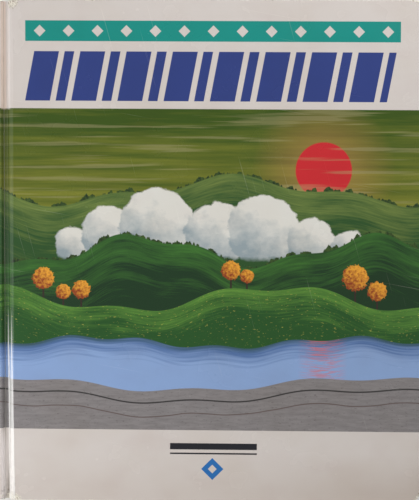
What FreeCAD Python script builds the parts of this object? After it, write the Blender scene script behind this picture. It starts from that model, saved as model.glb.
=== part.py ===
import FreeCAD, Part
import math
import os

os.makedirs("parts", exist_ok=True)

# A hardcover book that lies on its back cover, with its spine to the left.
# Sizes are in millimetres. +X points from the spine to the fore-edge, +Y to the head
# of the page and +Z up through the front cover. The origin is under the book's middle.

# Boards of the case
board_height = 250.0
board_width = 206.0
board_thickness = 2.5
spine_board_thickness = 2.0
groove_width = 3.8
corner_radius = 4.5

# Covering paper, which wraps the boards and folds in round their edges
cover_paper = 0.2
turn_in = 15.0
mitre_gap = 0.3
edge_radius = 0.35
groove_foot_radius = 1.0
groove_wall = 0.05
spine_crest_radius = 1.1

# Edge of each cover board along the groove, crushed to a slope by the paper's pull
crest_slope = 1.9
crest_drop = 0.75
crest_radius = 3.5
crest_margin = 0.1

# Book block
signature_count = 10
leaves_per_signature = 8
leaf_thickness = 0.128
square = 3.2

# Endpapers and the pieces on the back of the block
endpaper = 0.2
closing_gap = 0.1
lining_thickness = 0.3
hollow_gap = 0.6
band_tape_height = 12.0
band_tape_thickness = 0.3
bead_radius = 0.8

# Cut at the bottom line of each groove, where the paper bends
hinge_slit = 0.1

# Levels of the closed book, from the middle of the block outwards
signature_thickness = leaves_per_signature * leaf_thickness
block_thickness = signature_count * signature_thickness
half_block = block_thickness / 2
fly_top = half_block + endpaper
paste_low = fly_top + closing_gap
paste_top = paste_low + endpaper
board_low = paste_top + cover_paper
board_top = board_low + board_thickness
cover_top = board_top + cover_paper
groove_top = board_low + cover_paper

# Crushed edge: its slope, the level where it meets the groove's wall, and the radius there
slope_angle = math.atan2(crest_drop, crest_slope)
shoulder_level = cover_top - crest_drop
shoulder_reach = shoulder_level - groove_top - groove_foot_radius - groove_wall
shoulder_turn = math.pi / 2 - slope_angle
shoulder_radius = shoulder_reach / math.tan(shoulder_turn / 2)

# Places from the spine to the fore-edge
total_width = 2 * cover_paper + spine_board_thickness + groove_width + board_width
spine_out = -total_width / 2
spine_board_out = spine_out + cover_paper
spine_board_in = spine_board_out + spine_board_thickness
spine_wall = spine_board_in + cover_paper
board_left = spine_board_in + groove_width
cover_wall = board_left - cover_paper
crest_x = cover_wall + crest_slope
board_right = board_left + board_width
cover_right = board_right + cover_paper
lining_left = spine_wall + hollow_gap
block_left = lining_left + lining_thickness
page_right = board_right - square
hinge_x = (spine_board_in + board_left) / 2

# Places towards the head, the same towards the tail
half_board = board_height / 2
half_cover = half_board + cover_paper
half_page = half_board - square

UP = FreeCAD.Vector(0, 0, 1)
ALONG = FreeCAD.Vector(0, 1, 0)


def point(x, z):
    return FreeCAD.Vector(x, 0, z)


def block_between(x0, x1, y0, y1, z0, z1):
    """A plain block between two corners."""
    return Part.makeBox(x1 - x0, y1 - y0, z1 - z0, FreeCAD.Vector(x0, y0, z0))


def outline_edges(corners):
    """Lines and tangent arcs round corners given as (x, z, radius)."""
    count = len(corners)
    starts = []
    ends = []
    edges = []
    for i, (x, z, radius) in enumerate(corners):
        here = point(x, z)
        before = point(*corners[i - 1][:2]) - here
        after = point(*corners[(i + 1) % count][:2]) - here
        before.normalize()
        after.normalize()
        half_angle = before.getAngle(after) / 2
        reach = radius / math.tan(half_angle)
        enter = here + before * reach
        leave = here + after * reach
        if radius > 0:
            middle = before + after
            middle.normalize()
            deepest = here + middle * (radius / math.sin(half_angle) - radius)
            edges.append(Part.Arc(enter, deepest, leave).toShape())
        ends.append(enter)
        starts.append(leave)
    for i in range(count):
        a = starts[i]
        b = ends[(i + 1) % count]
        if a.distanceToPoint(b) > 1e-6:
            edges.append(Part.LineSegment(a, b).toShape())
    return edges


def prism(corners, y0, y1):
    """A solid with the outline of the corners, drawn across the book and run along it."""
    wire = Part.Wire(Part.__sortEdges__(outline_edges(corners)))
    wire.translate(ALONG * y0)
    return Part.Face(wire).extrude(ALONG * (y1 - y0))


def mirrored_to_back(shape):
    """The same piece for the back cover, under the middle of the block."""
    return shape.mirror(FreeCAD.Vector(0, 0, 0), UP)


def rounded(shape, radius, keep):
    """The shape with the edges that keep() picks rounded."""
    edges = [edge for edge in shape.Edges if keep(edge.BoundBox)]
    return shape.makeFillet(radius, edges)


def on_fore_corner(reach):
    """Picks the upright edges at the two fore-edge corners of a board."""
    return lambda box: box.ZLength > board_thickness / 2 and box.XLength < 0.01 and box.XMin > reach


def greyboard():
    """Stiff board of the front cover, with its edge crushed to a slope along the groove."""
    crest = crest_x + cover_paper * math.tan(slope_angle / 2)
    shoulder = shoulder_level - cover_paper * math.tan(shoulder_turn / 2)
    section = [
        (board_left, board_low, 0),
        (board_right, board_low, 0),
        (board_right, board_top, 0),
        (crest, board_top, crest_radius - cover_paper),
        (board_left, shoulder, shoulder_radius - cover_paper),
    ]
    board = prism(section, -half_board, half_board)
    return rounded(board, corner_radius, on_fore_corner(board_right - 0.1))


def cover_envelope():
    """Outer form of the covered front board with its half of the groove."""
    flat_left = crest_x + crest_radius * math.tan(slope_angle / 2) + crest_margin
    slab = block_between(flat_left, cover_right, -half_cover, half_cover, paste_top, cover_top)
    slab = rounded(slab, corner_radius + cover_paper, on_fore_corner(cover_right - 0.1))
    slab = rounded(slab, edge_radius,
                   lambda box: box.ZMin > cover_top - 0.01 and box.XMax > flat_left + 0.01)
    hinge = hinge_x + hinge_slit / 2
    section = [
        (hinge, paste_top, 0),
        (flat_left, paste_top, 0),
        (flat_left, cover_top, 0),
        (crest_x, cover_top, crest_radius),
        (cover_wall, shoulder_level, shoulder_radius),
        (cover_wall, groove_top, groove_foot_radius),
        (hinge, groove_top, 0),
    ]
    return slab.fuse(prism(section, -half_cover, half_cover)).removeSplitter()


def mitre(sign):
    """Slit between the two turn-ins that meet at a fore-edge corner."""
    length = (turn_in + cover_paper) * math.sqrt(2)
    slit = block_between(0, length, -mitre_gap / 2, mitre_gap / 2, paste_top, board_low)
    slit.rotate(FreeCAD.Vector(0, 0, 0), UP, -sign * 135)
    start = corner_radius * (1 - math.sqrt(0.5))
    slit.translate(FreeCAD.Vector(board_right - start, sign * (half_board - start), 0))
    return slit


def cover_paper_wrap(board):
    """Printed paper round the front board, with turn-ins mitred at the fore-edge."""
    window = block_between(hinge_x, board_right - turn_in, turn_in - half_board,
                           half_board - turn_in, paste_top, board_low)
    return cover_envelope().cut([board, window, mitre(1), mitre(-1)])


def pastedown():
    """Half of the endpaper that is glued inside the board, sunk between the turn-ins."""
    rim = block_between(hinge_x + hinge_slit / 2, page_right, -half_page, half_page,
                        paste_low, paste_top)
    field_half = half_board - turn_in
    field = block_between(board_left, board_right - turn_in, -field_half, field_half,
                          paste_top, board_low)
    sunk = block_between(board_left + endpaper, board_right - turn_in - endpaper,
                         endpaper - field_half, field_half - endpaper, paste_low, paste_top)
    return rim.cut(sunk).fuse(field).removeSplitter()


def flyleaf():
    """Loose half of the endpaper, with the fold at the back of the block."""
    outer = (paste_top - half_block) / 2
    inner = closing_gap / 2
    hinge = hinge_x - hinge_slit / 2
    section = [
        (page_right, half_block, 0),
        (page_right, fly_top, 0),
        (block_left + endpaper, fly_top, inner * 0.98),
        (block_left + endpaper, paste_low, inner * 0.98),
        (hinge, paste_low, 0),
        (hinge, paste_top, 0),
        (block_left, paste_top, outer * 0.98),
        (block_left, half_block, outer * 0.98),
    ]
    return prism(section, -half_page, half_page)


def signature(index):
    """One folded section of leaves, round at its fold and trimmed square elsewhere."""
    low = -half_block + index * signature_thickness
    high = low + signature_thickness
    fold = signature_thickness / 2 * 0.98
    section = [
        (block_left, low, fold),
        (page_right, low, 0),
        (page_right, high, 0),
        (block_left, high, fold),
    ]
    return prism(section, -half_page, half_page)


def spine_board():
    """Narrow board of the flat spine, as tall as the two covers."""
    crest = spine_crest_radius - cover_paper
    section = [
        (spine_board_out, -board_top, crest),
        (spine_board_in, -board_top, crest),
        (spine_board_in, board_top, crest),
        (spine_board_out, board_top, crest),
    ]
    return prism(section, -half_board, half_board)


def spine_paper(board):
    """Printed paper round the spine board, with the spine's half of both grooves."""
    hinge = hinge_x - hinge_slit / 2
    upper = [
        (hinge, paste_top, 0),
        (hinge, groove_top, 0),
        (spine_wall, groove_top, groove_foot_radius),
        (spine_wall, cover_top, spine_crest_radius),
        (spine_out, cover_top, spine_crest_radius),
    ]
    lower = [(x, -z, radius) for x, z, radius in reversed(upper)]
    inside = [(spine_wall, -paste_top, 0), (spine_wall, paste_top, 0)]
    envelope = prism(upper + lower + inside, -half_cover, half_cover)
    hollow = block_between(spine_board_in, hinge_x, turn_in - half_board,
                           half_board - turn_in, -board_low, board_low)
    return envelope.cut([board, hollow])


def lining():
    """Gauze and paper glued over the folds between the two bands."""
    half = half_page - band_tape_height
    return block_between(lining_left, block_left, -half, half, -half_block, half_block)


def band():
    """Woven band at the head: a tape down the folds and a bead over the page edges."""
    tape_left = block_left - band_tape_thickness
    tape = block_between(tape_left, block_left, half_page - band_tape_height,
                         half_page + bead_radius, -half_block, half_block)
    centre = FreeCAD.Vector(tape_left + bead_radius, half_page + bead_radius, -half_block)
    bead = Part.makeCylinder(bead_radius, block_thickness, centre, UP)
    return tape.fuse(bead)


def export(name, shape):
    """Writes one piece, lifted so that the back cover lies on the ground."""
    piece = shape.copy()
    piece.translate(UP * cover_top)
    piece.exportStep("parts/" + name + ".step")


def build():
    front_board = greyboard()
    front_sides = {
        "board": front_board,
        "cover_paper": cover_paper_wrap(front_board),
        "pastedown": pastedown(),
        "flyleaf": flyleaf(),
    }
    for name, shape in front_sides.items():
        export("front_" + name, shape)
        export("back_" + name, mirrored_to_back(shape))
    spine = spine_board()
    export("spine_board", spine)
    export("spine_paper", spine_paper(spine))
    export("spine_lining", lining())
    head_band = band()
    export("head_band", head_band)
    export("tail_band", head_band.mirror(FreeCAD.Vector(0, 0, 0), ALONG))
    for index in range(signature_count):
        export("signature_%02d" % (index + 1), signature(index))


build()
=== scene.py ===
import math
import random

import bpy
import numpy as np
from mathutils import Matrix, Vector, noise


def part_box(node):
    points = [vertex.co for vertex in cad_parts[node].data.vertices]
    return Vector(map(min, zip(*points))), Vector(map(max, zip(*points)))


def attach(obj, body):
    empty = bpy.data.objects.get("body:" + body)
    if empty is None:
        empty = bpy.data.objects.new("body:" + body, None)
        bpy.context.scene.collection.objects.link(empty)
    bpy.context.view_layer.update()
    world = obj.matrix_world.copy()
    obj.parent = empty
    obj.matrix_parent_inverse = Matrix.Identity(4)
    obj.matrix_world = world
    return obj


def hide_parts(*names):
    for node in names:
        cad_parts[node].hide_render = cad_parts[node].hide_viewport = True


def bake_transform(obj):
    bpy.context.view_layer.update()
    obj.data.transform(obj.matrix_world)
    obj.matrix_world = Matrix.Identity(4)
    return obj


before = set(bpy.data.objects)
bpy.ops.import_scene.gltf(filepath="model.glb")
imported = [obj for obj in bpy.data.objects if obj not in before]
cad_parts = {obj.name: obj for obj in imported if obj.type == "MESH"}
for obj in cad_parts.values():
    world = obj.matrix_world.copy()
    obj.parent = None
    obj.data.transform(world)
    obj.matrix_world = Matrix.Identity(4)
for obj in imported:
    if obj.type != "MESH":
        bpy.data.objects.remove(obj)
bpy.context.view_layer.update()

# The book lies on its back cover, with its spine at -X and the head of its pages at +Y.
# Lengths are in metres.
mm = 0.001

# Levels and places that the frame gives
case_low, case_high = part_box("front_cover_paper")
board_low, board_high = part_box("front_board")
spine_low, spine_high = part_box("spine_paper")
_, spine_board_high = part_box("spine_board")
pastedown_low, pastedown_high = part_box("front_pastedown")
flyleaf_low, flyleaf_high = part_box("front_flyleaf")
paper = case_high.z - board_high.z
middle = (spine_low.z + spine_high.z) / 2
cover_top = case_high.z
turn_in_level = case_low.z
groove_level = board_low.z + paper
cover_wall = board_low.x - paper
spine_wall = spine_board_high.x + paper
cover_right = board_high.x + paper
half_cover = board_high.y + paper
half_page = flyleaf_high.y

# The covering paper: its thickness, its turn-ins and its bends
paper_thickness = 0.18 * mm
turn_in = 15 * mm
edge_radius = 0.35 * mm
foot_radius = 1.0 * mm
shoulder_radius = 1.0 * mm
crest_radius = 3.5 * mm
crest_slope = 1.9 * mm
crest_drop = 0.75 * mm
spine_crest_radius = 1.1 * mm
mitre_gap = 0.2 * mm
arc_steps = 8

# Places where the pieces of the covering paper and of the endpaper meet
cover_seam = spine_wall + 1.0 * mm
endpaper_seam = flyleaf_low.x + 0.4 * mm

# The covered board's round corners, from where the straight part of its fore-edge ends
fore_edge = [v.co.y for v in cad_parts["front_board"].data.vertices
             if v.co.x > board_high.x - 0.01 * mm]
corner_radius = board_high.y - max(fore_edge) + paper
corner_x = cover_right - corner_radius
corner_y = half_cover - corner_radius


def smooth_step(value, start, end):
    """0 before start, 1 after end and an easy curve between them."""
    share = min(1.0, max(0.0, (value - start) / (end - start)))
    return share * share * (3 - 2 * share)


def ripple(x, y, size, seed):
    """Smooth unevenness between about -1 and 1, with hollows of the given size."""
    return noise.noise(Vector((x / size, y / size, seed * 7.3)))


def rounded_path(corners):
    """Points along straight lines whose corners, given as (x, z, radius), are rounded."""
    path = []
    for i, (x, z, radius) in enumerate(corners):
        here = Vector((x, z))
        if radius == 0:
            path.append(here)
            continue
        before = (Vector(corners[i - 1][:2]) - here).normalized()
        after = (Vector(corners[i + 1][:2]) - here).normalized()
        half = before.angle(after) / 2
        centre = here + (before + after).normalized() * (radius / math.sin(half))
        first = here + before * (radius / math.tan(half)) - centre
        last = here + after * (radius / math.tan(half)) - centre
        turn = first.angle(last)
        for k in range(arc_steps + 1):
            share = k / arc_steps
            along = first * math.sin((1 - share) * turn) + last * math.sin(share * turn)
            path.append(centre + along / math.sin(turn))
    return path


def lengths_along(path):
    """Distance from the start of a path to each of its points."""
    lengths = [0.0]
    for a, b in zip(path, path[1:]):
        lengths.append(lengths[-1] + (b - a).length)
    return lengths


def with_steps(path, longest):
    """The path with its straight parts divided into steps no longer than the given one."""
    points = [path[0]]
    for a, b in zip(path, path[1:]):
        count = math.ceil((b - a).length / longest - 1e-6)
        points += [a.lerp(b, k / count) for k in range(1, count)] + [b]
    return points


def graded(start, end, fine, coarse, margin):
    """Places from start to end: fine steps within the margin of either end, coarse between."""
    near = list(np.arange(start, start + margin, fine))
    far = [start + end - place for place in reversed(near)]
    count = math.ceil((far[0] - near[-1]) / coarse)
    between = list(np.linspace(near[-1], far[0], count + 1)[1:-1])
    return near + between + far


def matched(outer, inner, outer_marks, inner_marks):
    """For each point of the outer path, the point of the inner path that lies across from it."""
    places = lengths_along(inner)
    at = np.interp(lengths_along(outer), outer_marks, inner_marks)
    across = np.interp(at, places, [p.x for p in inner])
    up = np.interp(at, places, [p.y for p in inner])
    return [Vector(pair) for pair in zip(across, up)]


def grid_faces(columns, rows):
    """Faces of a grid of points that was filled one column after another."""
    faces = []
    for column in range(columns - 1):
        for row in range(rows - 1):
            a = column * rows + row
            b = a + rows
            faces.append((a, b, b + 1, a + 1))
    return faces


def upright(vector):
    """A vector of a cross-section, (x, z), as one of the book."""
    return Vector((vector.x, 0, vector.y))


class Wrap:
    """Paper that wraps a board: its outer side, with each point's place on the flat sheet."""

    def __init__(self, outer, sheet_x, half_heights, rows):
        self.points = []
        self.sheet = []
        self.rows = len(rows)
        self.faces = grid_faces(len(outer), self.rows)
        for place, flat, half in zip(outer, sheet_x, half_heights):
            for row in rows:
                self.add(Vector((place.x, row * half, place.y)), Vector((flat, row * half, 0)))

    def add(self, point, place):
        self.points.append(point)
        self.sheet.append(place)
        return len(self.points) - 1

    def fold(self, chain):
        """Turns the paper in round the edge that the chain's points follow. Each part holds
        a point's number, the way outward, the way through the board and the way in under it."""
        lines = [self.fold_line(*part) for part in chain]
        for left, right in zip(lines, lines[1:]):
            for k in range(len(left) - 1):
                self.faces.append((left[k], right[k], right[k + 1], left[k + 1]))

    def fold_line(self, start, outward, through, inward):
        """Numbers of the points from one point of an edge, round the board and in under it."""
        depth = through.length
        rim = min(edge_radius, 0.45 * depth)
        quarter = [math.radians(22.5 * k) for k in (1, 2, 3, 4)]
        steps = [(math.sin(a), rim * (1 - math.cos(a))) for a in quarter]
        steps += [(1, rim + (depth - 2 * rim) * share) for share in (1 / 3, 2 / 3, 1)]
        steps += [(math.sin(a), depth - rim * (1 - math.cos(a))) for a in reversed(quarter[:3])]
        steps.append((0, depth))
        origin = self.points[start]
        place = self.sheet[start]
        numbers = [start]
        way = 0.0
        last = origin
        for out, deep in steps:
            point = origin + outward * (edge_radius * out) + through * (deep / depth)
            way += (point - last).length
            last = point
            numbers.append(self.add(point, place + outward * way))
        for share in (0.1, 0.5, 1.0):
            beyond = way + inward.length * share
            numbers.append(self.add(last + inward * share, place + outward * beyond))
        return numbers


def way_under(point):
    """How the turn-in runs under the board from a point of its edge, up to the mitre."""
    to_fore_edge = cover_right - edge_radius - point.x
    to_head = half_cover - edge_radius - abs(point.y)
    side = math.copysign(1, point.y)
    point_of_mitre = 0.02 * mm
    if abs(to_fore_edge - to_head) < point_of_mitre:
        return Vector((-1, -side, 0)) * point_of_mitre
    room = abs(to_fore_edge - to_head) - mitre_gap
    reach = max(0.03 * mm, min(turn_in, room))
    if to_head < to_fore_edge:
        return Vector((0, -side * reach, 0))
    return Vector((-reach, 0, 0))


def outward_from(point):
    """The way out of the cover in its plane: straight, or radial round a fore-edge corner."""
    past_x = max(0.0, point.x - corner_x)
    past_y = math.copysign(max(0.0, abs(point.y) - corner_y), point.y)
    return Vector((past_x, past_y, 0)).normalized()


def front_case_wrap():
    """Covering paper of the front board, from the groove to the fore-edge."""
    crest_x = cover_wall + crest_slope
    crest_end = crest_x + crest_radius * math.tan(math.atan2(crest_drop, crest_slope) / 2)
    bend = rounded_path([
        (cover_seam, groove_level, 0),
        (cover_wall, groove_level, foot_radius),
        (cover_wall, cover_top - crest_drop, shoulder_radius),
        (crest_x, cover_top, crest_radius),
        (crest_end + 0.4 * mm, cover_top, 0),
    ])
    bend = with_steps(bend[:-1], 0.3 * mm)
    flat_columns = graded(crest_end, corner_x, 0.8 * mm, 4 * mm, 8 * mm)
    reach = corner_radius - edge_radius
    corner_columns = [corner_x + reach * math.sin(math.radians(11.25 * k)) for k in range(1, 9)]
    outer = bend + [Vector((x, cover_top)) for x in flat_columns[1:] + corner_columns]

    along = lengths_along(outer)
    flat_start = along[len(bend) - 1]
    sheet_x = [crest_end + length - flat_start for length in along]
    floor_end = cover_wall - foot_radius - cover_seam
    inner = [Vector((cover_seam, turn_in_level)), Vector((outer[-1].x, turn_in_level))]
    inner = matched(outer, inner, [0, floor_end, flat_start, along[-1]],
                    [0, floor_end, crest_end - cover_seam, outer[-1].x - cover_seam])

    past_corner = [max(0.0, place.x - corner_x) for place in outer]
    half_heights = [corner_y + math.sqrt(max(0.0, reach * reach - past * past)) if past > 0
                    else corner_y + reach for past in past_corner]
    rows = [y / half_cover for y in graded(-half_cover, half_cover, 0.7 * mm, 4 * mm, 12 * mm)]
    wrap = Wrap(outer, sheet_x, half_heights, rows)

    def part(column, row):
        number = column * wrap.rows + row
        point = wrap.points[number]
        through = upright(inner[column] - outer[column])
        return number, outward_from(point), through, way_under(point)

    last_column = len(outer) - 1
    last_row = wrap.rows - 1
    chain = [part(column, last_row) for column in range(last_column + 1)]
    chain += [part(last_column, row) for row in range(last_row - 1, 0, -1)]
    chain += [part(column, 0) for column in range(last_column, -1, -1)]
    wrap.fold(chain)
    return wrap, sheet_x[0]


def spine_wrap(sheet_end):
    """Covering paper of the spine, from the back groove over the spine to the front groove."""
    upper = [
        (spine_low.x, cover_top, spine_crest_radius),
        (spine_wall, cover_top, spine_crest_radius),
        (spine_wall, groove_level, foot_radius),
        (cover_seam, groove_level, 0),
    ]
    lower = [(x, 2 * middle - z, radius) for x, z, radius in reversed(upper)]
    outer = with_steps(rounded_path(lower + upper), 0.8 * mm)
    along = lengths_along(outer)
    sheet_x = [sheet_end - along[-1] + length for length in along]

    under_low = 2 * middle - turn_in_level
    lip = 0.2 * mm
    corners = ((cover_seam, under_low), (spine_wall - lip, under_low),
               (spine_wall - lip, turn_in_level), (cover_seam, turn_in_level))
    inner = [Vector(corner) for corner in corners]
    span = lengths_along(inner)
    at_low = next(a for a, p in zip(along, outer)
                  if p.x < spine_low.x + 0.01 * mm and p.y > under_low)
    floor = cover_seam - spine_wall - foot_radius
    inner = matched(outer, inner,
                    [0, floor, at_low, along[-1] - at_low, along[-1] - floor, along[-1]],
                    [0, floor, span[1] + 0.6 * mm, span[2] - 0.6 * mm, span[3] - floor, span[3]])

    half = half_cover - edge_radius
    rows = [y / half for y in graded(-half, half, 0.6 * mm, 4 * mm, 14 * mm)]
    wrap = Wrap(outer, sheet_x, [half] * len(outer), rows)
    columns = range(len(outer))

    def part(column, row, side):
        through = upright(inner[column] - outer[column])
        inward = Vector((0, -side * turn_in, 0))
        return column * wrap.rows + row, Vector((0, side, 0)), through, inward

    wrap.fold([part(column, wrap.rows - 1, 1) for column in columns])
    wrap.fold([part(column, 0, -1) for column in reversed(columns)])
    bottom = 2 * middle - cover_top + 0.001 * mm
    back_crest = next(flat for flat, place in zip(sheet_x, outer) if place.y < bottom)
    return wrap, sheet_x[0], back_crest


def new_object(name, data):
    """A mesh, lamp or lens, placed in the scene."""
    made = bpy.data.objects.new(name, data)
    bpy.context.scene.collection.objects.link(made)
    return made


def new_piece(name, points, faces, finishes):
    """A mesh object with smooth shading and its materials."""
    mesh = bpy.data.meshes.new(name)
    mesh.from_pydata(points, [], faces)
    mesh.shade_smooth()
    piece = new_object(name, mesh)
    for finish in finishes:
        mesh.materials.append(finish)
    return piece


def paper_piece(name, points, sheet, faces, finishes):
    """Paper with its thickness inward, where the last finish shows. Each point keeps its place
    on the flat sheet, in millimetres, for the finishes."""
    piece = new_piece(name, points, faces, finishes)
    attribute = piece.data.attributes.new("sheet", "FLOAT_VECTOR", "POINT")
    attribute.data.foreach_set("vector", np.array(sheet, np.float32).ravel() / mm)
    solid = piece.modifiers.new("thickness", "SOLIDIFY")
    solid.thickness = paper_thickness
    solid.offset = -1
    solid.material_offset = solid.material_offset_rim = len(finishes) - 1
    shape = piece.evaluated_get(bpy.context.evaluated_depsgraph_get())
    mesh = bpy.data.meshes.new_from_object(shape)
    piece.modifiers.clear()
    piece.data = mesh
    mesh.set_sharp_from_angle(angle=math.radians(50))
    return piece


def mirrored(points):
    """The same points under the middle of the block."""
    return [Vector((p.x, p.y, 2 * middle - p.z)) for p in points]


def worn_place(point):
    """Where a point of the covering paper lies after years of use."""
    x, y, z = point
    side = math.copysign(1, y)
    up = math.copysign(1, z - middle)
    corner_reach = 9 * mm
    end_reach = 14 * mm
    to_corner = math.hypot(cover_right - x, half_cover - abs(y))
    blunt = 0.14 * mm * (1 - smooth_step(to_corner, 0, corner_reach))
    moved = point + Vector((-blunt, -side * blunt, 0))
    by_spine = 1 - smooth_step(x, cover_wall - 1 * mm, cover_wall + 3 * mm)
    crush = smooth_step(abs(y), half_cover - end_reach, half_cover) * by_spine
    moved.x += 0.10 * mm * crush * ripple(y, z, 2.6 * mm, 3)
    moved.y -= side * 0.28 * mm * crush * (1 + ripple(x, z, 1.7 * mm, 5)) / 2
    moved.z -= up * 0.07 * mm * crush * (1 + ripple(x, y / 3, 0.9 * mm, 8))
    return moved


def worn(points):
    return [worn_place(point) for point in points]


def flipped(faces):
    """The same faces, turned to their other side."""
    return [tuple(reversed(face)) for face in faces]


def both_sides(points, faces):
    """A sheet at the front of the book, and its mirror image at the back."""
    return ("front", points, faces), ("back", mirrored(points), flipped(faces))


def make_case():
    """The covering paper: one piece over the spine and one over each board."""
    front, front_seam = front_case_wrap()
    spine, back_seam, back_crest = spine_wrap(front_seam)
    finishes = [laminated_print(back_crest), paper_back()]
    piece = paper_piece("spine_covering_paper", worn(spine.points), spine.sheet, spine.faces,
                        finishes)
    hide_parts("spine_paper")
    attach(piece, "text_block")

    back_sheet = [Vector((back_seam + front_seam - p.x, p.y, 0)) for p in front.sheet]
    sheets = {"front": front.sheet, "back": back_sheet}
    for side, points, faces in both_sides(front.points, front.faces):
        piece = paper_piece(side + "_covering_paper", worn(points), sheets[side], faces,
                            finishes)
        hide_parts(side + "_cover_paper")
        side + "_cover"
        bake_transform(piece)


def pastedown_sheet():
    """The endpaper glued inside the front board, which sinks between the turn-ins."""
    step = 0.7 * mm
    field_right = board_high.x - turn_in
    field_half = board_high.y - turn_in
    columns = list(np.linspace(endpaper_seam, board_low.x, 15))
    columns += graded(board_low.x + 0.3 * mm, pastedown_high.x, 1.5 * mm, 4 * mm, 16 * mm)
    rows = graded(-half_page, half_page, 1.2 * mm, 4 * mm, 15 * mm)
    points = []
    for x in columns:
        for y in rows:
            sunk = smooth_step(x, board_low.x - step, board_low.x + step)
            sunk *= 1 - smooth_step(x, field_right - step, field_right + step)
            sunk *= 1 - smooth_step(abs(y), field_half - step, field_half + step)
            points.append(Vector((x, y, pastedown_low.z + paper * sunk)))
    return points, [(a, d, c, b) for a, b, c, d in grid_faces(len(columns), len(rows))]


def make_endpapers(finish):
    """The glued half of each endpaper, with its joint, and the loose half with its fold."""
    for side, points, faces in both_sides(*pastedown_sheet()):
        piece = paper_piece(side + "_endpaper", points, points, faces, [finish])
        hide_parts(side + "_pastedown")
        side + "_cover"
        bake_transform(piece)

    fold = (flyleaf_high.z - flyleaf_low.z) / 2
    path = with_steps(rounded_path([
        (flyleaf_high.x, flyleaf_low.z, 0),
        (flyleaf_low.x, flyleaf_low.z, fold * 0.98),
        (flyleaf_low.x, flyleaf_high.z, fold * 0.98),
        (endpaper_seam, flyleaf_high.z, 0),
    ]), 6 * mm)
    heights = np.linspace(-half_page, half_page, 41)
    leaf = [Vector((p.x, y, p.y)) for p in path for y in heights]
    for side, points, faces in both_sides(leaf, grid_faces(len(path), len(heights))):
        piece = paper_piece(side + "_loose_endpaper", points, points, faces, [finish])
        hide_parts(side + "_flyleaf")
        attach(piece, "text_block")


class Solids:
    """Closed solids that are joined in one mesh."""

    def __init__(self):
        self.points = []
        self.faces = []

    def strip(self, outer, inner, y_low, y_high):
        """A strip between two paths of its cross-section, over its length along the spine."""
        first = len(self.points)
        for a, b in zip(outer, inner):
            for place, y in ((a, y_low), (b, y_low), (a, y_high), (b, y_high)):
                self.points.append(Vector((place.x, y, place.y)))
        for i in range(len(outer) - 1):
            p = first + 4 * i
            q = p + 4
            self.faces += [(p, q, q + 2, p + 2), (p + 1, p + 3, q + 3, q + 1),
                           (p, p + 1, q + 1, q), (p + 2, q + 2, q + 3, p + 3)]
        p = first
        q = len(self.points) - 4
        self.faces += [(p, p + 2, p + 3, p + 1), (q, q + 1, q + 3, q + 2)]

    def turned(self, rings, centre_x, centre_y):
        """A round form about an upright line, with rings given as (radius, height)."""
        sides = 20
        first = len(self.points)
        for radius, height in rings:
            for k in range(sides):
                a = 2 * math.pi * k / sides
                self.points.append(Vector((centre_x + radius * math.cos(a),
                                           centre_y + radius * math.sin(a), height)))
        for i in range(len(rings) - 1):
            for k in range(sides):
                a = first + i * sides + k
                b = first + i * sides + (k + 1) % sides
                self.faces.append((a, b, b + sides, a + sides))
        last = first + (len(rings) - 1) * sides
        self.faces.append(tuple(first + k for k in reversed(range(sides))))
        self.faces.append(tuple(last + k for k in range(sides)))


def folded_leaf(centre, radius, trim):
    """One side of a folded leaf, from its lower fore-edge round the fold to its upper one."""
    turns = [math.radians(270 - 15 * k) for k in range(13)]
    fold = [centre + Vector((math.cos(a), math.sin(a))) * radius for a in turns]
    lower, upper = (Vector((trim, centre.y + side * radius)) for side in (-1, 1))
    return [lower] + fold + [upper]


def make_sections(finish):
    """Ten sewn sections, each of four folded sheets, trimmed together on three sides."""
    chance = random.Random(14)
    sheets = 4
    thinnest, thickest = 0.72, 0.93
    uneven_fore_edge = 0.14
    uneven_ends = 0.1
    for name in sorted(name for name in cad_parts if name.startswith("signature_")):
        low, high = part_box(name)
        half = (high.z - low.z) / 2
        centre = Vector((low.x + half, (low.z + high.z) / 2))
        pitch = half / sheets
        solids = Solids()
        for sheet in range(sheets):
            outer_radius = half - sheet * pitch - 0.02 * pitch
            inner_radius = outer_radius - pitch * chance.uniform(thinnest, thickest)
            trim = high.x - chance.uniform(0.0, uneven_fore_edge) * mm
            outer = folded_leaf(centre, outer_radius, trim)
            inner = folded_leaf(centre, inner_radius, trim)
            solids.strip(outer, inner, low.y + chance.uniform(0, uneven_ends) * mm,
                         high.y - chance.uniform(0, uneven_ends) * mm)
        piece = new_piece(name.replace("signature", "section"), solids.points, solids.faces,
                          [finish])
        piece.data.set_sharp_from_angle(angle=math.radians(50))
        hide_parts(name)
        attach(piece, "text_block")


def make_bands(finish):
    """Sewn bands: thread wound round a core over the page edges, with a tape down the folds."""
    pitch = 0.55 * mm
    tape = 0.3 * mm
    steps = 24
    for node, side in (("head_band", 1), ("tail_band", -1)):
        low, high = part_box(node)
        radius = (high.x - low.x) / 2
        centre_y = high.y - radius if side > 0 else low.y + radius
        length = high.z - low.z
        end_radius = radius * 0.8
        rings = [(end_radius, low.z)]
        count = round(length / pitch) * 8
        for k in range(1, count):
            wave = 0.5 + 0.5 * math.cos(2 * math.pi * k / 8)
            rings.append((radius * (1 - 0.09 * wave), low.z + length * k / count))
        rings.append((end_radius, high.z))
        solids = Solids()
        solids.turned(rings, low.x + radius, centre_y)
        edges = [low.z + length * k / steps for k in range(steps + 1)]
        waves = [0.02 * mm * (1 + math.sin(9 * k)) for k in range(steps + 1)]
        outer = [Vector((low.x + wave, z)) for wave, z in zip(waves, edges)]
        inner = [Vector((low.x + tape, z)) for z in edges]
        tape_end = low.y if side > 0 else high.y
        solids.strip(inner, outer, *sorted((tape_end, centre_y)))
        piece = new_piece(node + "_thread", solids.points, solids.faces, [finish])
        piece.data.set_sharp_from_angle(angle=math.radians(60))
        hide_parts(node)
        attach(piece, "text_block")


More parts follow.
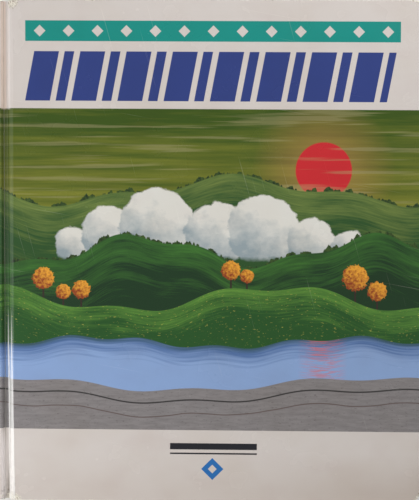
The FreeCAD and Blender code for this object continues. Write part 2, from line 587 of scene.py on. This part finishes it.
class Field:
    """A number, colour or vector that varies over a surface, with arithmetic on numbers."""

    def __init__(self, paint, socket):
        self.paint = paint
        self.socket = socket

    def math(self, operation, *values, clamp=False):
        settings = {"operation": operation, "use_clamp": clamp}
        return self.paint.node("Math", settings, dict(enumerate(values)))

    def __add__(self, other):
        return self.math("ADD", self, other)

    __radd__ = __add__

    def __sub__(self, other):
        return self.math("SUBTRACT", self, other)

    def __rsub__(self, other):
        return self.math("SUBTRACT", other, self)

    def __mul__(self, other):
        return self.math("MULTIPLY", self, other)

    __rmul__ = __mul__

    def __truediv__(self, other):
        return self.math("DIVIDE", self, other)

    def __abs__(self):
        return self.math("ABSOLUTE", self)

    def __pow__(self, power):
        return self.math("POWER", self, power)

    def sine(self):
        return self.math("SINE", self)

    def fraction(self):
        return self.math("FRACT", self)

    def clamped(self):
        return self.math("ADD", self, 0, clamp=True)

    def over(self, other):
        """The larger of two numbers, which joins two masks."""
        return self.math("MAXIMUM", self, other)

    def under(self, other):
        """The smaller of two numbers."""
        return self.math("MINIMUM", self, other)

    def beyond(self, limit, soft):
        """A mask: 0 below the limit and 1 above it, over a soft border."""
        return self.math("MULTIPLY_ADD", self - limit, 1 / soft, 0.5, clamp=True)

    def between(self, low, high, soft):
        return self.beyond(low, soft) * (1 - self.beyond(high, soft))


class Paint:
    def __init__(self, owner, shader="Principled BSDF"):
        owner.use_nodes = True
        self.owner = owner
        self.nodes = owner.node_tree.nodes
        self.shader = self.nodes[shader]

    def feed(self, socket, value):
        if isinstance(value, Field):
            self.owner.node_tree.links.new(value.socket, socket)
        else:
            socket.default_value = value

    def node(self, kind, settings=None, sockets=None, output=0):
        """A node: its settings come first, then the value or the link of each socket."""
        made = self.nodes.new("ShaderNode" + kind)
        for name, value in (settings or {}).items():
            setattr(made, name, value)
        for name, value in (sockets or {}).items():
            self.feed(made.inputs[name], value)
        return Field(self, made.outputs[output])

    def mix(self, share, first, second, blend="MIX"):
        """The first colour, with the second over it where share is 1."""
        return self.node("Mix", {"data_type": "RGBA", "blend_type": blend},
                         {0: share, 6: first, 7: second}, output=2)

    def sheet_places(self):
        """The x, y and z of the place on the flat sheet, in millimetres."""
        place = self.node("Attribute", {"attribute_name": "sheet"}, output=1)
        return [self.node("SeparateXYZ", None, {0: place}, output=k) for k in range(3)]

    def object_places(self):
        """The x, y and z of the object's own coordinates, in millimetres."""
        place = self.node("TexCoord", output=3)
        return [self.node("SeparateXYZ", None, {0: place}, output=k) * 1000 for k in range(3)]

    def grain(self, x, y, z=0.0, scale=1.0, detail=2.0, roughness=0.5):
        """Smooth noise between 0 and 1."""
        place = self.node("CombineXYZ", None, {0: x, 1: y, 2: z})
        return self.node("TexNoise", None, {"Vector": place, "Scale": scale, "Detail": detail,
                                            "Roughness": roughness})

    def relief(self, height, distance):
        """A bumped normal. The height is a share of the distance, in millimetres."""
        return self.node("Bump", None, {"Height": height, "Distance": distance * mm})

    def finish(self, **sockets):
        """Sets the shader's sockets. A name's underscores stand for spaces."""
        for name, value in sockets.items():
            self.feed(self.shader.inputs[name.replace("_", " ")], value)
        return self.owner


def material_paint(name):
    return Paint(bpy.data.materials.new(name))


def ink(red, green, blue):
    """A colour from its values on screen, 0 to 255."""
    def linear(value):
        share = value / 255
        return share / 12.92 if share <= 0.04045 else ((share + 0.055) / 1.055) ** 2.4
    return linear(red), linear(green), linear(blue), 1.0


paper_white = ink(215, 207, 202)
teal = ink(8, 144, 134)
bar_blue = ink(44, 62, 130)
rule_black = ink(26, 27, 36)
lozenge_blue = ink(34, 112, 186)
worn_fibre = ink(236, 230, 216)
# Bare paper white, also the painted highlight of the joint's lines
bare_white_highlight = ink(248, 247, 244)
frayed_shade = ink(140, 126, 100)
# Grime, also the painted shade along the groove's foot
grime_and_shade = ink(84, 72, 54)

# The cover's design, in millimetres from the middle of the cover
band_left, band_right = -91.6, 94.65
band_low, band_high = 104.7, 114.9
diamond_pitch = 14.4
diamond_half = 2.9
bars_left, bars_right = -92.0, 88.0
bars_low, bars_high = 75.2, 99.7
bar_group = 23.0
broad_bar, narrow_bar = (0.2, 12.6), (15.4, 20.2)
bar_lean = 0.19
picture_low, picture_high = -89.4, 71.4
rule_left, rule_right = -19.4, 24.3
broad_rule, narrow_rule = (-99.2, -96.0), (-101.6, -100.8)
lozenge_x, lozenge_y = 1.9, -109.0
lozenge_hole, lozenge_size = 2.2, 5.6
print_slope = -0.0042

# Its picture: each ridge has a base and waves of (height, length, start)
far_hill = (31, ((6, 170, 1.1), (2.4, 61, 0.4)))
middle_hill = (1, ((7, 118, 3.4), (2.2, 43, 2.0)))
near_hill = (-23, ((6, 150, 0.2), (2.0, 52, 1.0)))
far_bank = (-45, ((2.6, 130, 4.4), (1.1, 37, 1.0)))
near_bank = (-66, ((3.4, 190, 5.2), (1.2, 57, 2.6)))
sun_x, sun_y, sun_radius = 57.0, 41.0, 14.0

# Round tops of the cloud bank, as (x, y, radius), and autumn trees, as (x, height, radius)
cloud_tops = ((-68, 4, 9), (-50, 9, 14), (-26, 13, 19), (4, 9, 16), (27, 11, 18), (51, 5, 12),
              (70, 2, 9))
autumn_trees = ((-83, 10, 5.4), (-73, 7, 3.8), (-64, 9, 4.6), (11, 9, 4.8), (19, 6.5, 3.4),
                (73, 12, 6.4), (84, 9, 4.8))

# Wear, painted light and painted shade of the joint, in millimetres on the flat sheet. Its strips
# are given as (from, to), from the spine's edge over the groove to the crest of the board's edge.
tail_edge = -125
dull_spine = (-111, -103.0)
creased_strip = (-108, -98.9)
crumpled_strip = (-108, -97.5)
# painted light that lifts the groove's shade by the tail
lit_groove_strip = (-107.2, -103.8)
warm_strip = (-106.6, -102.9)
dirty_strip = (-103.6, -101.8)
foot_start, foot_end = -102.7, -102.0
dull_wall = (-102.6, -98.2)
crest_start, crest_line = -99.4, -99.25
# partly rubbed paper, partly a painted highlight on the groove's wall by the head
highlit_wall = (-102.3, crest_start)

# Frayed ends of the joint, as the middle of each and its half width and height
frayed_head = (-98.3, 124.2, 2.9, 2.6)
frayed_tail = (-99.4, -124.6, 4.4, 2.6)


def sine(value):
    """Sine of a plain number or of a field."""
    return value.sine() if isinstance(value, Field) else math.sin(value)


def ridge(x, base, waves):
    """Height of a ridge at a place along the picture."""
    for height, length, start in waves:
        base = sine(x * (2 * math.pi / length) + start) * height + base
    return base


def from_point(x, y, point_x, point_y):
    return ((x - point_x) ** 2 + (y - point_y) ** 2) ** 0.5


def disc(x, y, centre_x, centre_y, radius, ragged=0.0, soft=0.3):
    """A mask of a round spot, whose edge a varying number can make ragged."""
    return 1 - (from_point(x, y, centre_x, centre_y) + ragged).beyond(radius, soft)


def sky(paint, x, y):
    """Hazy evening sky in olive bands, with a low red sun behind thin bars of cloud."""
    drift = paint.grain(x * 0.010, y * 0.22, 1.0, detail=5.0, roughness=0.6)
    share = (71 - y) / 58 + (drift - 0.5) * 2.2
    colour = paint.mix(share.clamped(), ink(56, 82, 6), ink(124, 128, 40))
    glow = 1 - from_point(x, y, sun_x, sun_y).beyond(24, 24)
    colour = paint.mix(glow * 0.35, colour, ink(204, 148, 88))
    colour = paint.mix(disc(x, y, sun_x, sun_y, sun_radius, soft=0.5), colour, ink(204, 36, 44))
    bars = paint.grain(x * 0.012, y * 0.34, 4.0, detail=3.0).beyond(0.58, 0.07)
    return paint.mix(bars * 0.32, colour, ink(172, 164, 118))


def grass(paint, x, depth, light, dark, seed, fall=0.03):
    """Grass that darkens below its ridge, in fine streaks that follow the hill."""
    broad = paint.grain(x * 0.03, depth * 0.16, seed, detail=3.0)
    fine = paint.grain(x * 0.06, depth * 1.1, seed + 5, detail=4.0, roughness=0.7)
    shade = depth * fall + (broad - 0.5) * 1.8 + (fine - 0.5) * 1.8 + 0.35
    return paint.mix(shade.clamped(), light, dark)


def hills(paint, x, y, picture, line, light, dark, seed):
    """A grassy hill with dark woods along its ridge."""
    depth = ridge(x, *line) - y
    tops = paint.grain(x * 0.14, 0.0, seed, detail=3.0, roughness=0.65)
    rise = (tops - 0.44).over(0) * 13
    leaves = paint.grain(x, y, seed, scale=0.6, detail=3.0, roughness=0.65) - 0.5
    crowns = (depth + rise + leaves * 1.6).between(0, 3.6, 0.3)
    foliage = paint.mix((leaves * 3 + 0.4).clamped(), ink(22, 46, 20), ink(70, 96, 38))
    picture = paint.mix(crowns * rise.beyond(0.5, 0.4), picture, foliage)
    return paint.mix(depth.beyond(0, 0.35), picture, grass(paint, x, depth, light, dark, seed))


def cloud_bank(paint, x, y, picture):
    """A bank of cloud in the valley, each of its tops lit from the upper right."""
    fluff = paint.grain(x * 0.13, y * 0.15, 7.0, detail=5.0, roughness=0.58) - 0.5
    for centre_x, centre_y, radius in cloud_tops:
        lit = (y - centre_y) / (radius * 1.3) + (x - centre_x) / (radius * 2.6) + fluff * 1.5 + 0.62
        puff = paint.mix(lit.clamped(), ink(150, 164, 170), ink(226, 224, 217))
        billow = disc(x, y, centre_x, centre_y, radius, fluff * 6, soft=0.9)
        picture = paint.mix(billow * (y + fluff * 5).beyond(-3, 2.5), picture, puff)
    return picture


def trees(paint, x, y, picture):
    """Round autumn trees on thin trunks along the near hill."""
    leaves = paint.grain(x, y, 3.0, scale=0.7, detail=3.0, roughness=0.6) - 0.5
    for place, height, radius in autumn_trees:
        foot = ridge(place, *near_hill)
        top = foot + height
        trunk = x.between(place - 0.45, place + 0.45, 0.2) * y.between(foot - 2, top, 0.4)
        picture = paint.mix(trunk, picture, ink(50, 38, 30))
        lit = leaves * 2.8 + (y - top) / (radius * 2.4) + (x - place) / (radius * 3.2) + 0.5
        crown = paint.mix(lit.clamped(), ink(142, 60, 22), ink(238, 166, 52))
        picture = paint.mix(disc(x, y, place, top, radius, leaves * (radius * 0.8)), picture, crown)
    return picture


def lake(paint, x, depth):
    """Pale water in long ripples, with the far bank's shade and the sun's glints on it."""
    ripples = paint.grain(x * 0.03, depth * 0.8, 9.0, detail=4.0) - 0.5
    share = 1.1 - depth * 0.11 + ripples * 1.9
    water = paint.mix(share.clamped(), ink(140, 168, 214), ink(80, 112, 164))
    shaded = (1 - depth.beyond(1.6, 2.4)) * (0.6 + ripples)
    water = paint.mix(shaded.clamped(), water, ink(44, 76, 62))
    glints = paint.grain(x * 0.10, depth * 2.4, 11.0)
    streak = (1 - abs(x - sun_x).beyond(8, 9)) * glints.beyond(0.52, 0.05)
    return paint.mix(streak * 0.6, water, ink(212, 104, 92))


def shore(paint, x, y, depth):
    """Grey sand with pebbles, and two dark lines that the water has left."""
    sand = paint.grain(x * 0.10, y * 0.6, 4.0, detail=5.0, roughness=0.72)
    colour = paint.mix(sand, ink(102, 98, 98), ink(158, 153, 154))
    pebbles = paint.grain(x * 0.55, y * 1.1, 8.0).beyond(0.66, 0.05)
    colour = paint.mix(pebbles * 0.45, colour, ink(86, 80, 78))
    colour = paint.mix(depth.between(5.6, 6.3, 0.3), colour, ink(48, 46, 46))
    wander = paint.grain(x * 0.02, 0.0, 6.0) * 5 + 10
    return paint.mix((depth - wander).between(0, 0.5, 0.3), colour, ink(98, 84, 82))


def landscape(paint, x, y):
    """The printed picture: hills under an evening sky, a cloud bank, a lake and its shore."""
    picture = sky(paint, x, y)
    picture = hills(paint, x, y, picture, far_hill, ink(110, 130, 62), ink(40, 80, 34), 2.0)
    picture = cloud_bank(paint, x, y, picture)
    picture = hills(paint, x, y, picture, middle_hill, ink(60, 114, 42), ink(18, 54, 24), 12.0)
    picture = trees(paint, x, y, picture)
    depth = ridge(x, *near_hill) - y
    meadow = grass(paint, x, depth, ink(98, 148, 56), ink(32, 82, 30), 22.0, 0.05)
    flowers = paint.grain(x * 0.5, depth * 1.9, 17.0).beyond(0.68, 0.03)
    meadow = paint.mix(flowers * 0.6, meadow, ink(206, 196, 92))
    picture = paint.mix(depth.beyond(0, 0.35), picture, meadow)
    depth = ridge(x, *far_bank) - y
    picture = paint.mix(depth.beyond(0, 0.3), picture, lake(paint, x, depth))
    depth = ridge(x, *near_bank) - y
    return paint.mix(depth.beyond(0, 0.3), picture, shore(paint, x, y, depth))


def cover_design(paint, x, y, spine_back):
    """The printed design: a band of diamonds, leaning bars, a picture, two rules, a lozenge."""
    level = y - x * print_slope
    band = x.between(band_left, band_right, 0.12) * level.between(band_low, band_high, 0.12)
    colour = paint.mix(band, paper_white, teal)
    across = ((x - band_left) / diamond_pitch).fraction() * diamond_pitch - diamond_pitch / 2
    aslant = abs(across) + abs(level - (band_low + band_high) / 2)
    row = x.between(band_left + 1, band_right - 1, 0.1)
    colour = paint.mix((1 - aslant.beyond(diamond_half, 0.3)) * row, colour, paper_white)

    upright_x = x - (level - bars_low) * bar_lean
    within = ((upright_x - bars_left) / bar_group).fraction() * bar_group
    bars = within.between(*broad_bar, 0.15).over(within.between(*narrow_bar, 0.15))
    bars = bars * level.between(bars_low, bars_high, 0.15)
    bars = bars * upright_x.between(bars_left, bars_right, 0.1)
    colour = paint.mix(bars, colour, bar_blue)

    framed = x.beyond(spine_back, 0.15) * level.between(picture_low, picture_high, 0.15)
    colour = paint.mix(framed, colour, landscape(paint, x, y))

    rules = level.between(*broad_rule, 0.15).over(level.between(*narrow_rule, 0.15))
    colour = paint.mix(rules * x.between(rule_left, rule_right, 0.15), colour, rule_black)
    aslant = abs(x - lozenge_x) + abs(level - lozenge_y)
    return paint.mix(aslant.between(lozenge_hole, lozenge_size, 0.2), colour, lozenge_blue)


def spot(x, y, centre_x, centre_y, wide, tall, ragged):
    """A mask of a ragged oval, given by its middle and its half width and height."""
    distance = ((x - centre_x) / wide) ** 2 + ((y - centre_y) / tall) ** 2 + ragged
    return 1 - distance.beyond(1, 0.5)


def from_outline(x, y):
    """How far a place lies inside the cover's outline, with its round fore-edge corners."""
    past_x = (x - corner_x / mm).over(0)
    past_y = (abs(y) - corner_y / mm).over(0)
    return corner_radius / mm - (past_x ** 2 + past_y ** 2) ** 0.5


def rubbed_places(paint, x, y):
    """A mask of the bare fibre where the print is rubbed off, at edges, corners and joint ends."""
    specks = paint.grain(x, y, 2.0, scale=1.5, detail=4.0, roughness=0.7) - 0.5
    patches = paint.grain(x, y, 8.0, scale=0.11) - 0.5
    at_corner = 1 - from_point(x, abs(y), cover_right / mm, half_cover / mm).beyond(5, 6)
    rim = 1 - abs(from_outline(x, y)).beyond(0.45, 1.1)
    rim = (rim + specks * 1.6 + patches * 1.9 + at_corner * 1.1).beyond(1.0, 0.25)
    head = spot(x, y, *frayed_head, specks * 6)
    tail = spot(x, y, *frayed_tail, specks * 5)
    return rim.over(head).over(tail)


def by_tail(y, reach, soft):
    """A mask of the places within the reach of the tail edge, over a soft border."""
    return 1 - (y - tail_edge).beyond(reach, soft)


def tailward(y, start, length):
    """0 above the start, and from there rising to 1 over the length towards the tail."""
    return ((start - y) / length).clamped()


def worn_and_highlit_lines(paint, x, y):
    """A mask of two thin lines at the foot and the crest of the groove's wall, partly worn white
    and partly painted highlight, with painted sheen between them.
    """
    lean = tailward(y, -46, 74)
    wander = paint.grain(0.0, y * 0.05, 4.0) * 0.5 - 0.25
    broken = paint.grain(x * 0.5, y * 0.35, 6.0, detail=4.0, roughness=0.7) - 0.5
    foot = (x + wander).between(lean * 0.8 + foot_start, lean * 2.0 + foot_end, 0.3)
    crest = 1 - abs(x - crest_line + wander - lean * 1.15).beyond(0.24, 0.3)
    # painted sheen on the wall between the two lines
    wall = (x + wander).between(foot_end, lean * 1.15 + crest_start, 0.5) * (lean * 3).clamped()
    lines = foot.over(crest * 0.78).over(wall * 0.4)
    return lines * (1 + broken * 1.4).clamped() * tailward(y, -28, 24)


def joint_creases(paint, x, y):
    """Fine creases along the joint, deeper towards the tail, and the crumpled paper there."""
    strength = x.between(*creased_strip, 0.8) * ((-60 - y) / 65 + 0.18).clamped()
    folds = paint.grain(x * 0.9, y * 0.035, 5.0, scale=1.5, detail=3.0)
    crumple = paint.grain(x * 0.7, y * 0.45, 9.0, detail=3.0)
    crumpled = by_tail(y, 7, 10) * x.between(*crumpled_strip, 1.0)
    return (folds - 0.5) * strength, (crumple - 0.5) * crumpled


def scratches(paint, x, y):
    """Hairline scratches in the gloss, in two directions, where it was rubbed most."""
    first = paint.grain(x * 0.9 + y * 0.25, y * 0.010 - x * 0.004, 3.0, scale=1.3, detail=3.0)
    second = paint.grain(x * 0.012, y * 1.1 + x * 0.2, 6.0, scale=1.2, detail=3.0)
    worn_area = paint.grain(x, y, 12.0, scale=0.03, detail=1.0).beyond(0.5, 0.2)
    return first.beyond(0.73, 0.04).over(second.beyond(0.74, 0.04)) * worn_area


def aged(paint, x, y, colour):
    """The print with its fine screen, uneven yellowing and a painted shade, darker towards the tail
    and most by the fore-edge.
    """
    rosette = paint.grain(x, y, 1.0, scale=5.0, detail=1.0)
    colour = paint.mix((rosette - 0.4) * 0.10, colour, rule_black)
    tone = paint.grain(x, y, 5.0, scale=0.035, detail=3.0)
    colour = paint.mix((tone - 0.42).clamped() * 0.5, colour, ink(222, 208, 186), "MULTIPLY")
    tint = paint.grain(x * 0.6, y, 13.0, scale=0.09)
    colour = paint.mix((tint - 0.5).clamped() * 0.5, colour, ink(228, 212, 214), "MULTIPLY")
    # painted shade: darker towards the tail, most by the fore-edge
    tail_shade = by_tail(y, 14, 20) * (x.beyond(60, 90) * 0.6 + 0.4)
    return paint.mix(tail_shade, colour, ink(234, 228, 222), "MULTIPLY")


def joint_dirt_and_painted_light(paint, x, y, colour, folds, crumple):
    """The joint's colours: a warm strip and a painted highlight by the head; by the tail, painted
    light over the groove, dirt in its creases, painted shade along its foot and darker crumple
    hollows.
    """
    by_head = y.beyond(picture_high, 1)
    colour = paint.mix(x.between(*warm_strip, 1.0) * by_head * 0.5, colour, ink(238, 214, 196))
    # painted light by the tail, lifting the shade in the groove and on the spine's flank
    groove_light = x.between(*lit_groove_strip, 1.0) * (1 - (y + 93).beyond(0, 8))
    # partly rubbed paper, partly a painted highlight on the groove's wall by the head
    pale = x.between(*highlit_wall, 0.8) * by_head
    colour = paint.mix(groove_light * 0.75 + pale * 0.4, colour, ink(250, 243, 242))
    dirt = (abs(folds) * -14 + 0.5).clamped() * x.between(*dirty_strip, 0.8) * by_tail(y, 12, 20)
    # painted shade along the groove's foot, deepening towards the tail
    foot_shade = (1 - abs(x - foot_start + folds * 4).beyond(0.5, 0.7)) * tailward(y, -98, 28)
    return paint.mix(dirt * 0.25 + foot_shade * 0.75 + (crumple * -5).clamped() * 0.5, colour, grime_and_shade)


def frayed_fibre(paint, x, y):
    """Colour of the bare fibre, darker between its pale strands."""
    lint = paint.grain(x * 1.5 + y * 0.6, y * 0.6 - x * 0.3, 26.0, scale=1.3, detail=4.0,
                       roughness=0.7)
    return paint.mix((lint * 6 - 2.2).clamped(), frayed_shade, worn_fibre)


def laminated_print(spine_back):
    """Gloss-laminated printed paper with the cover's design, rubbed at its edges."""
    paint = material_paint("laminated_print")
    x, y, _ = paint.sheet_places()
    hairlines = scratches(paint, x, y)
    folds, crumple = joint_creases(paint, x, y)
    rubbed = rubbed_places(paint, x, y).over((crumple * 6 - 0.25).clamped())

    colour = aged(paint, x, y, cover_design(paint, x, y, spine_back / mm))
    colour = paint.mix(hairlines * 0.10, colour, worn_fibre)
    colour = joint_dirt_and_painted_light(paint, x, y, colour, folds, crumple)
    colour = paint.mix(rubbed * 0.9, colour, frayed_fibre(paint, x, y))
    # worn white lines on the joint, partly painted highlight
    colour = paint.mix(worn_and_highlit_lines(paint, x, y) * 0.9, colour, bare_white_highlight)

    peel = paint.grain(x, y, scale=0.45)
    relief = peel * 0.5 + hairlines * 0.3 - rubbed * 1.5 + folds * 5 + crumple * 14
    smear = paint.grain(x, y, 9.0, scale=0.06, detail=3.0)
    dulled = rubbed.over(x.between(*dull_spine, 1.0) * 0.8)
    dulled = dulled.over(x.between(*dull_wall, 1.0) * y.beyond(-40, 20) * 0.8)
    roughness = 0.20 + smear * 0.12 + hairlines * 0.15 + dulled * 0.4
    return paint.finish(Base_Color=colour, Roughness=roughness, Coat_Weight=0.35 - dulled * 0.35,
                        Coat_Roughness=0.10, Normal=paint.relief(relief, 0.03))


def paper_back():
    """The unprinted back of the covering paper, which shows at its cut edges."""
    paint = material_paint("paper_back")
    x, y, _ = paint.sheet_places()
    fibres = paint.grain(x, y, 1.0, scale=2.2, detail=4.0, roughness=0.7)
    colour = paint.mix(fibres, ink(188, 182, 170), ink(220, 215, 205))
    return paint.finish(Base_Color=colour, Roughness=0.85, Normal=paint.relief(fibres, 0.03))


def endpaper_finish():
    """Uncoated endpaper: short fibres, a few age spots and browned edges."""
    paint = material_paint("endpaper")
    x, y, _ = paint.sheet_places()
    fibres = paint.grain(x * 0.5, y * 1.6, 1.0, scale=1.4, detail=4.0, roughness=0.65)
    clouds = paint.grain(x, y, 4.0, scale=0.03, detail=3.0)
    from_edge = (flyleaf_high.x / mm - x).under(half_page / mm - abs(y))
    browned = 1 - (from_edge + clouds * 14).beyond(12, 16)
    spots = paint.grain(x, y, 7.0, scale=0.2, detail=3.0, roughness=0.6).beyond(0.70, 0.04)
    colour = paint.mix(fibres, ink(212, 206, 192), ink(229, 224, 213))
    colour = paint.mix(browned * 0.32 + spots * 0.18, colour, ink(188, 164, 124))
    by_joint = 1 - abs(x - board_low.x / mm - 6).beyond(9, 12)
    cockles = paint.grain(x * 0.22, y * 0.03, 2.0) * by_joint
    return paint.finish(Base_Color=colour, Roughness=0.8, Specular_IOR_Level=0.3,
                        Normal=paint.relief(fibres * 0.15 + cockles * 3, 0.06))


def page_finish():
    """Book paper, with each leaf's cut edge a little lighter or darker than the next."""
    paint = material_paint("page_paper")
    x, y, z = paint.object_places()
    leaves = paint.grain(x * 0.03, y * 0.03, z * 7.0, detail=3.0, roughness=0.75)
    dust = paint.grain(x * 0.05, y * 0.05, z * 0.5, detail=3.0)
    fibres = paint.grain(x, y, z, scale=3.0, detail=3.0)
    colour = paint.mix((leaves * 1.6 - 0.3).clamped(), ink(208, 200, 186), ink(246, 242, 233))
    colour = paint.mix((dust - 0.45).clamped() * 0.6, colour, ink(196, 180, 152))
    return paint.finish(Base_Color=colour, Roughness=0.75, Specular_IOR_Level=0.3,
                        Normal=paint.relief(leaves * 0.7 + fibres * 0.3, 0.05))


def band_finish():
    """Soft cotton thread, with the twist of its strands and dust in its hollows."""
    paint = material_paint("band_cloth")
    x, y, z = paint.object_places()
    twist = ((x + y + z * 0.8) * (2 * math.pi / 0.26)).sine() * 0.5 + 0.5
    fuzz = paint.grain(x, y, z, scale=4.0, detail=3.0)
    soiled = paint.grain(x, y, z, scale=0.35)
    colour = paint.mix(twist * 0.5 + fuzz * 0.5, ink(178, 172, 156), ink(230, 227, 217))
    colour = paint.mix((soiled - 0.45).clamped(), colour, ink(150, 138, 112))
    return paint.finish(Base_Color=colour, Roughness=0.85, Specular_IOR_Level=0.25,
                        Sheen_Weight=0.3, Normal=paint.relief(twist * 0.7 + fuzz * 0.3, 0.06))


def gauze_finish():
    """Gauze glued over the folds: open threads, with dull dried glue between them."""
    paint = material_paint("gauze")
    x, y, z = paint.object_places()
    thread_pitch = 0.9
    wander = paint.grain(x, y, z, scale=0.5) * 1.2
    along = abs(((y + wander) * (math.pi / thread_pitch)).sine())
    across = abs(((z + wander) * (math.pi / thread_pitch)).sine())
    threads = along.beyond(0.84, 0.16).over(across.beyond(0.84, 0.16))
    strands = paint.grain(x, y, z, scale=5.0)
    cotton = paint.mix(strands, ink(190, 182, 160), ink(222, 216, 200))
    colour = paint.mix(threads, ink(150, 132, 98), cotton)
    return paint.finish(Base_Color=colour, Roughness=0.55 + threads * 0.35,
                        Normal=paint.relief(threads * 0.8 + strands * 0.2, 0.15))


def board_finish():
    """Grey board pressed from waste paper, with pale and dark fibres."""
    paint = material_paint("greyboard")
    x, y, z = paint.object_places()
    pulp = paint.grain(x * 0.6, y * 1.4, z * 2.5, scale=1.2, detail=5.0, roughness=0.7)
    dark = paint.grain(x * 2.4, y * 0.7, z * 3.0, scale=0.9).beyond(0.66, 0.04)
    pale = paint.grain(x * 0.7, y * 2.2, z * 3.0, scale=0.9).beyond(0.68, 0.04)
    colour = paint.mix(pulp, ink(118, 110, 98), ink(158, 151, 138))
    colour = paint.mix(dark * 0.6, colour, ink(72, 70, 70))
    colour = paint.mix(pale * 0.6, colour, ink(204, 198, 186))
    return paint.finish(Base_Color=colour, Roughness=0.9, Normal=paint.relief(pulp, 0.08))


def soft_lamp(name, place, width, height, power):
    """A rectangular lamp that faces the book and doesn't show itself."""
    lamp = bpy.data.lights.new(name, "AREA")
    lamp.shape = "RECTANGLE"
    lamp.size = width
    lamp.size_y = height
    lamp.energy = power
    holder = new_object(name, lamp)
    holder.location = place
    holder.rotation_euler = (-Vector(place)).to_track_quat("-Z", "Y").to_euler()
    holder.visible_camera = False


# Lamps as (name, place, width, height, watts)
lamps = (
    ("window", (-0.42, -0.19, 0.33), 0.25, 0.36, 1.20),
    ("far_window", (-0.42, 0.10, 0.33), 0.28, 0.36, 0.40),
    ("top", (0.20, 0.35, 0.30), 0.50, 0.20, 1.22),
    ("low", (-0.20, -0.42, 0.32), 0.20, 0.20, 0.42),
    ("fill", (0.75, 0.15, 0.20), 0.50, 0.30, 0.80),
)


def make_studio():
    """A pale floor that fades into pale surroundings, with soft lamps and even light all round."""
    backdrop = ink(236, 235, 232)
    floor_level = -0.05 * mm
    bpy.ops.mesh.primitive_plane_add(size=12, location=(0, 0, floor_level))
    floor = bpy.context.object
    floor.name = "floor"
    paint = material_paint("floor")
    x, y, _ = paint.object_places()
    far_off = from_point(x, y, 0, 0).beyond(400, 360)
    seen = paint.node("LightPath")
    glow = paint.node("Emission", None, {"Color": backdrop})
    paint.finish(Base_Color=ink(232, 230, 226), Roughness=0.8)
    lit = Field(paint, paint.shader.outputs[0])
    surface = paint.node("MixShader", None, {0: far_off * seen, 1: lit, 2: glow})
    paint.feed(paint.nodes["Material Output"].inputs["Surface"], surface)
    floor.data.materials.append(paint.owner)

    for lamp in lamps:
        soft_lamp(*lamp)

    world = bpy.data.worlds.new("studio")
    bpy.context.scene.world = world
    paint = Paint(world, "Background")
    seen = paint.node("LightPath")
    paint.finish(Color=backdrop, Strength=seen * 0.65 + 0.35)


def make_camera():
    """The camera of the photograph: above the cover, a little off the square."""
    lens = bpy.data.cameras.new("camera")
    lens.sensor_fit = "VERTICAL"
    lens.sensor_height = 36
    lens.lens = 85
    camera = new_object("camera", lens)
    camera.location = (10.3 * mm, 26.2 * mm, 606.0 * mm)
    camera.rotation_euler = [math.radians(a) for a in (-2.416, 0.983, 0.133)]
    bpy.context.scene.camera = camera


def repaint(node, finish):
    """Gives a piece of the frame, which keeps its shape, its material."""
    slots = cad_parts[node].data.materials
    slots.clear()
    slots.append(finish)


def build():
    bpy.context.scene.view_settings.view_transform = "Standard"
    make_case()
    make_endpapers(endpaper_finish())
    make_sections(page_finish())
    make_bands(band_finish())
    greyboard = board_finish()
    for node in ("front_board", "back_board", "spine_board"):
        repaint(node, greyboard)
    repaint("spine_lining", gauze_finish())
    make_studio()
    make_camera()


build()
